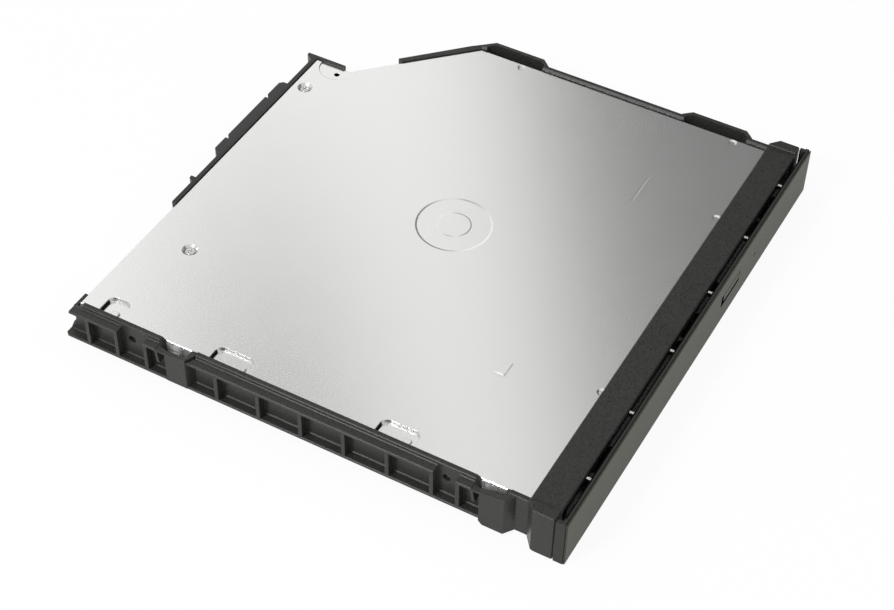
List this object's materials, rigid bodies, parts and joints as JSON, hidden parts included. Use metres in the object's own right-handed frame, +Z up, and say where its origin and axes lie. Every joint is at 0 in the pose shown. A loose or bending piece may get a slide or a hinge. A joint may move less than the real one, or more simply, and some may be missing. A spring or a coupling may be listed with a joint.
{
  "type": "laptop dvd drive",
  "caption": "Slim tray-load optical disc drive in a bay caddy: steel case, ribbed side rail, front bar, tall tray bezel and rear docking connector.",
  "frame": {"origin": "middle of the whole part's box in plan, at its lowest edge, which is the bezel's bottom", "axes": "+Z up through the lid, -Y out of the bezel's face as the tray opens, +X to the right of a person who faces the bezel"},
  "size_m": [0.1354, 0.13, 0.0132],
  "materials": {
    "lid_steel": "satin zinc-plated steel",
    "case_steel": "satin zinc-plated steel",
    "caddy_plastic": "moulded grain",
    "bezel_plastic": "satin grain",
    "button_plastic": "satin",
    "clear_plastic": "clear",
    "dock_plastic": "moulded",
    "contact_metal": "gold plated",
    "screw_steel": "nickel plated",
    "guide_plastic": "acetal",
    "rail_steel": "polished by running",
    "tray_plastic": "fine moulded grain",
    "plate_steel": "thin sheet",
    "board_green": "solder resist",
    "chip_black": "moulded package",
    "connector_plastic": "moulded",
    "flex_film": "film over copper tracks",
    "lamp_plastic": "diffused",
    "lever_plastic": "acetal",
    "coil_copper": "enamelled wire",
    "chassis_steel": "pressed sheet",
    "damper_rubber": "soft",
    "motor_steel": "drawn can",
    "turntable_metal": "turned",
    "hub_plastic": "acetal",
    "shaft_steel": "ground",
    "sled_zinc": "die cast",
    "magnet": "nickel plated",
    "lens_glass": "coated"
  },
  "bodies": {
    "chassis": {"top_cover": "lid_steel", "bottom_case": "case_steel", "caddy_frame": "caddy_plastic", "rear_bracket": "caddy_plastic", "dock_housing": "dock_plastic", "dock_contacts": "contact_metal", "cover_screws": "screw_steel", "bracket_screws": "screw_steel", "left_guide": "guide_plastic", "right_guide": "guide_plastic", "main_board": "board_green", "board_chips": "chip_black", "drive_connector": "dock_plastic", "flex_connector": "connector_plastic", "flex_cable": "flex_film", "latch_post": "rail_steel"},
    "left_rail": {"left_slide_rail": "rail_steel"},
    "right_rail": {"right_slide_rail": "rail_steel"},
    "tray": {"tray": "tray_plastic", "cover_plate": "plate_steel", "plate_screws": "screw_steel", "tray_bezel": "bezel_plastic", "light_pipe": "clear_plastic", "tray_socket": "connector_plastic", "button_board": "board_green", "eject_switch": "chip_black", "busy_light": "lamp_plastic", "lever_pin": "shaft_steel", "release_solenoid": "motor_steel", "traverse_chassis": "chassis_steel", "dampers": "damper_rubber", "damper_screws": "screw_steel", "spindle_base": "motor_steel", "spindle_stator": "coil_copper", "main_shaft": "shaft_steel", "sub_shaft": "shaft_steel", "sled_motor": "motor_steel"},
    "eject_button": {"eject_button": "button_plastic"},
    "latch_lever": {"latch_lever": "lever_plastic"},
    "turntable": {"turntable": "turntable_metal", "friction_ring": "damper_rubber", "centring_hub": "hub_plastic"},
    "lead_screw": {"lead_screw": "shaft_steel"},
    "sled": {"pickup_body": "sled_zinc", "pickup_cover": "plate_steel", "drive_nut": "lever_plastic", "lens_magnets": "magnet"},
    "lens": {"lens_holder": "chip_black", "objective_lens": "lens_glass"}
  },
  "joints": [
    {"name": "tray_slide", "type": "slide", "parent": "chassis", "child": "tray", "axis": [0, -1, 0], "range_m": [0, 0.126], "deforming": ["flex_cable"]},
    {"name": "left_rail_slide", "type": "slide", "parent": "chassis", "child": "left_rail", "axis": [0, -1, 0], "range_m": [0, 0.063]},
    {"name": "right_rail_slide", "type": "slide", "parent": "chassis", "child": "right_rail", "axis": [0, -1, 0], "range_m": [0, 0.063]},
    {"name": "turntable_spin", "type": "hinge", "parent": "tray", "child": "turntable", "pos_m": [0.0015, -0.0003, 0.0069], "axis": [0, 0, 1], "continuous": true},
    {"name": "sled_slide", "type": "slide", "parent": "tray", "child": "sled", "axis": [0.7071, -0.7071, 0], "range_m": [0, 0.035]},
    {"name": "screw_spin", "type": "hinge", "parent": "tray", "child": "lead_screw", "pos_m": [0.00999, -0.03424, 0.005], "axis": [0.7071, -0.7071, 0], "range_deg": [-5, 4205]},
    {"name": "lens_focus", "type": "slide", "parent": "sled", "child": "lens", "axis": [0, 0, 1], "range_m": [-0.0003, 0.0004], "stiffness_N_per_m": 20},
    {"name": "eject_press", "type": "slide", "parent": "tray", "child": "eject_button", "axis": [0, 1, 0], "range_m": [0, 0.0006], "stiffness_N_per_m": 400, "springref_m": -0.0004},
    {"name": "latch_swing", "type": "hinge", "parent": "tray", "child": "latch_lever", "pos_m": [-0.0404, -0.0566, 0.0038], "axis": [0, 0, 1], "range_deg": [0, 14]}
  ],
  "couplings": [
    {"joint": "left_rail_slide", "follows": "tray_slide", "ratio": 0.5},
    {"joint": "right_rail_slide", "follows": "tray_slide", "ratio": 0.5},
    {"joint": "screw_spin", "follows": "sled_slide", "rad_per_m": 2094.4}
  ]
}
